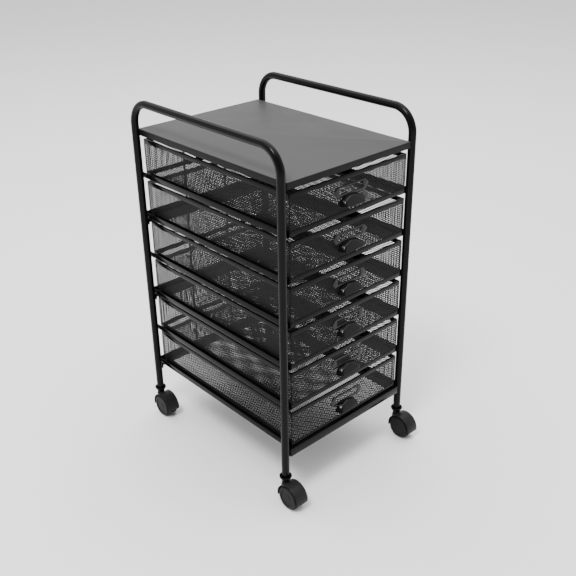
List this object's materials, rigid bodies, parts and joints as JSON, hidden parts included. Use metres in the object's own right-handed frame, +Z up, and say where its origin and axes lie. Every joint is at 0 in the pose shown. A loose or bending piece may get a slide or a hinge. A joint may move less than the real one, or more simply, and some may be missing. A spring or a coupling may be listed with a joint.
{
  "type": "mobile file cart",
  "caption": "Rolling file cart with bent-tube side frames, a sheet-steel top tray, a stack of mesh drawers on angle rails and swivelling hooded casters.",
  "frame": {"origin": "on the floor, midway between the four posts", "axes": "+X to the right across the drawer fronts, +Y to the back of the cart, +Z up"},
  "size_m": [0.2982, 0.3993, 0.6043],
  "materials": {
    "powder_coat": "satin black powder coat",
    "tray_coat": "satin charcoal powder coat with a fine texture",
    "mesh_coat": "satin black powder coat on expanded steel mesh",
    "nylon": "moulded black nylon",
    "wheel_nylon": "moulded black nylon, matte on the tread",
    "bare_steel": "plain steel pin"
  },
  "bodies": {
    "cart_frame": {"left_side_frame": "powder_coat", "right_side_frame": "powder_coat", "top_tray": "tray_coat", "left_rail_1": "powder_coat", "left_rail_2": "powder_coat", "left_rail_3": "powder_coat", "left_rail_4": "powder_coat", "left_rail_5": "powder_coat", "left_rail_6": "powder_coat", "right_rail_1": "powder_coat", "right_rail_2": "powder_coat", "right_rail_3": "powder_coat", "right_rail_4": "powder_coat", "right_rail_5": "powder_coat", "right_rail_6": "powder_coat", "rear_bar_2": "powder_coat", "rear_bar_4": "powder_coat", "rear_bar_6": "powder_coat", "front_bar": "powder_coat", "left_stop_rod": "powder_coat", "right_stop_rod": "powder_coat", "front_left_caster_socket": "nylon", "front_right_caster_socket": "nylon", "rear_left_caster_socket": "nylon", "rear_right_caster_socket": "nylon"},
    "drawer_1": {"drawer_1_basket": "mesh_coat", "drawer_1_rim": "powder_coat", "drawer_1_handle": "powder_coat"},
    "drawer_2": {"drawer_2_basket": "mesh_coat", "drawer_2_rim": "powder_coat", "drawer_2_handle": "powder_coat"},
    "drawer_3": {"drawer_3_basket": "mesh_coat", "drawer_3_rim": "powder_coat", "drawer_3_handle": "powder_coat"},
    "drawer_4": {"drawer_4_basket": "mesh_coat", "drawer_4_rim": "powder_coat", "drawer_4_handle": "powder_coat"},
    "drawer_5": {"drawer_5_basket": "mesh_coat", "drawer_5_rim": "powder_coat", "drawer_5_handle": "powder_coat"},
    "drawer_6": {"drawer_6_basket": "mesh_coat", "drawer_6_rim": "powder_coat", "drawer_6_handle": "powder_coat"},
    "front_left_caster": {"front_left_caster_hood": "nylon", "front_left_caster_axle": "bare_steel"},
    "front_left_left_wheel": {"front_left_caster_left_wheel": "wheel_nylon"},
    "front_left_right_wheel": {"front_left_caster_right_wheel": "wheel_nylon"},
    "front_right_caster": {"front_right_caster_hood": "nylon", "front_right_caster_axle": "bare_steel"},
    "front_right_left_wheel": {"front_right_caster_left_wheel": "wheel_nylon"},
    "front_right_right_wheel": {"front_right_caster_right_wheel": "wheel_nylon"},
    "rear_left_caster": {"rear_left_caster_hood": "nylon", "rear_left_caster_axle": "bare_steel"},
    "rear_left_left_wheel": {"rear_left_caster_left_wheel": "wheel_nylon"},
    "rear_left_right_wheel": {"rear_left_caster_right_wheel": "wheel_nylon"},
    "rear_right_caster": {"rear_right_caster_hood": "nylon", "rear_right_caster_axle": "bare_steel"},
    "rear_right_left_wheel": {"rear_right_caster_left_wheel": "wheel_nylon"},
    "rear_right_right_wheel": {"rear_right_caster_right_wheel": "wheel_nylon"}
  },
  "joints": [
    {"name": "drawer_1_slide", "type": "slide", "parent": "cart_frame", "child": "drawer_1", "axis": [0, -1, 0], "range_m": [0, 0.26]},
    {"name": "drawer_2_slide", "type": "slide", "parent": "cart_frame", "child": "drawer_2", "axis": [0, -1, 0], "range_m": [0, 0.26]},
    {"name": "drawer_3_slide", "type": "slide", "parent": "cart_frame", "child": "drawer_3", "axis": [0, -1, 0], "range_m": [0, 0.26]},
    {"name": "drawer_4_slide", "type": "slide", "parent": "cart_frame", "child": "drawer_4", "axis": [0, -1, 0], "range_m": [0, 0.26]},
    {"name": "drawer_5_slide", "type": "slide", "parent": "cart_frame", "child": "drawer_5", "axis": [0, -1, 0], "range_m": [0, 0.26]},
    {"name": "drawer_6_slide", "type": "slide", "parent": "cart_frame", "child": "drawer_6", "axis": [0, -1, 0], "range_m": [0, 0.26]},
    {"name": "front_left_swivel", "type": "hinge", "parent": "cart_frame", "child": "front_left_caster", "pos_m": [-0.136, -0.175, 0.0433], "axis": [0, 0, 1], "continuous": true},
    {"name": "front_left_left_roll", "type": "hinge", "parent": "front_left_caster", "child": "front_left_left_wheel", "pos_m": [-0.136, -0.1908, 0.021], "axis": [1, 0, 0], "continuous": true},
    {"name": "front_left_right_roll", "type": "hinge", "parent": "front_left_caster", "child": "front_left_right_wheel", "pos_m": [-0.136, -0.1908, 0.021], "axis": [1, 0, 0], "continuous": true},
    {"name": "front_right_swivel", "type": "hinge", "parent": "cart_frame", "child": "front_right_caster", "pos_m": [0.136, -0.175, 0.0433], "axis": [0, 0, 1], "continuous": true},
    {"name": "front_right_left_roll", "type": "hinge", "parent": "front_right_caster", "child": "front_right_left_wheel", "pos_m": [0.136, -0.1908, 0.021], "axis": [1, 0, 0], "continuous": true},
    {"name": "front_right_right_roll", "type": "hinge", "parent": "front_right_caster", "child": "front_right_right_wheel", "pos_m": [0.136, -0.1908, 0.021], "axis": [1, 0, 0], "continuous": true},
    {"name": "rear_left_swivel", "type": "hinge", "parent": "cart_frame", "child": "rear_left_caster", "pos_m": [-0.136, 0.175, 0.0433], "axis": [0, 0, 1], "continuous": true},
    {"name": "rear_left_left_roll", "type": "hinge", "parent": "rear_left_caster", "child": "rear_left_left_wheel", "pos_m": [-0.136, 0.1592, 0.021], "axis": [1, 0, 0], "continuous": true},
    {"name": "rear_left_right_roll", "type": "hinge", "parent": "rear_left_caster", "child": "rear_left_right_wheel", "pos_m": [-0.136, 0.1592, 0.021], "axis": [1, 0, 0], "continuous": true},
    {"name": "rear_right_swivel", "type": "hinge", "parent": "cart_frame", "child": "rear_right_caster", "pos_m": [0.136, 0.175, 0.0433], "axis": [0, 0, 1], "continuous": true},
    {"name": "rear_right_left_roll", "type": "hinge", "parent": "rear_right_caster", "child": "rear_right_left_wheel", "pos_m": [0.136, 0.1592, 0.021], "axis": [1, 0, 0], "continuous": true},
    {"name": "rear_right_right_roll", "type": "hinge", "parent": "rear_right_caster", "child": "rear_right_right_wheel", "pos_m": [0.136, 0.1592, 0.021], "axis": [1, 0, 0], "continuous": true}
  ]
}
